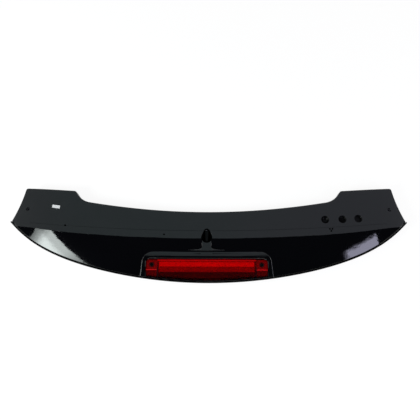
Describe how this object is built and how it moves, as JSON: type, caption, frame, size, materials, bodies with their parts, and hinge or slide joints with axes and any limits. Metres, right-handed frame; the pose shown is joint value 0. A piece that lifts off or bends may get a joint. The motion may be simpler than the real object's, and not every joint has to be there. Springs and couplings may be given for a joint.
{
  "type": "car rear spoiler",
  "caption": "Gloss black roof spoiler for a car's tailgate, with a red high-level stop lamp, a washer nozzle and threaded fixings, lying underside up.",
  "frame": {"origin": "middle of the plan box, on the ground under the painted top skin it lies on", "axes": "+X across the car and to the picture's right, +Y from the trailing edge to the roof edge, +Z out of the underside; a half turn about +Y puts it as on the car"},
  "size_m": [1.25, 0.2996, 0.0539],
  "materials": {
    "upper_shell": "gloss black paint",
    "lower_shell": "black, satin mounting face and gloss lip",
    "stop_lamp_lens": "clear red acrylic",
    "stop_lamp_housing": "black moulding",
    "stop_lamp_reflector": "bright metallised plastic",
    "stop_lamp_circuit_board": "white board",
    "stop_lamp_leds": "red diode bodies",
    "stop_lamp_resistors": "black chips",
    "stop_lamp_seal": "black foam",
    "stop_lamp_screws": "black zinc",
    "stop_lamp_clip_nuts": "phosphated spring steel",
    "stop_lamp_connector": "black moulding",
    "washer_nozzle_body": "black moulding",
    "washer_nozzle_jet": "dark steel ball",
    "washer_nozzle_seal": "black rubber",
    "threaded_inserts": "dark plated steel",
    "inspection_label": "blank white paper"
  },
  "bodies": {
    "root": {"upper_shell": "upper_shell", "lower_shell": "lower_shell", "stop_lamp_lens": "stop_lamp_lens", "stop_lamp_housing": "stop_lamp_housing", "stop_lamp_reflector": "stop_lamp_reflector", "stop_lamp_circuit_board": "stop_lamp_circuit_board", "stop_lamp_leds": "stop_lamp_leds", "stop_lamp_resistors": "stop_lamp_resistors", "stop_lamp_seal": "stop_lamp_seal", "stop_lamp_screws": "stop_lamp_screws", "stop_lamp_clip_nuts": "stop_lamp_clip_nuts", "stop_lamp_connector": "stop_lamp_connector", "washer_nozzle_body": "washer_nozzle_body", "washer_nozzle_jet": "washer_nozzle_jet", "washer_nozzle_seal": "washer_nozzle_seal", "threaded_inserts": "threaded_inserts", "inspection_label": "inspection_label"}
  },
  "joints": []
}
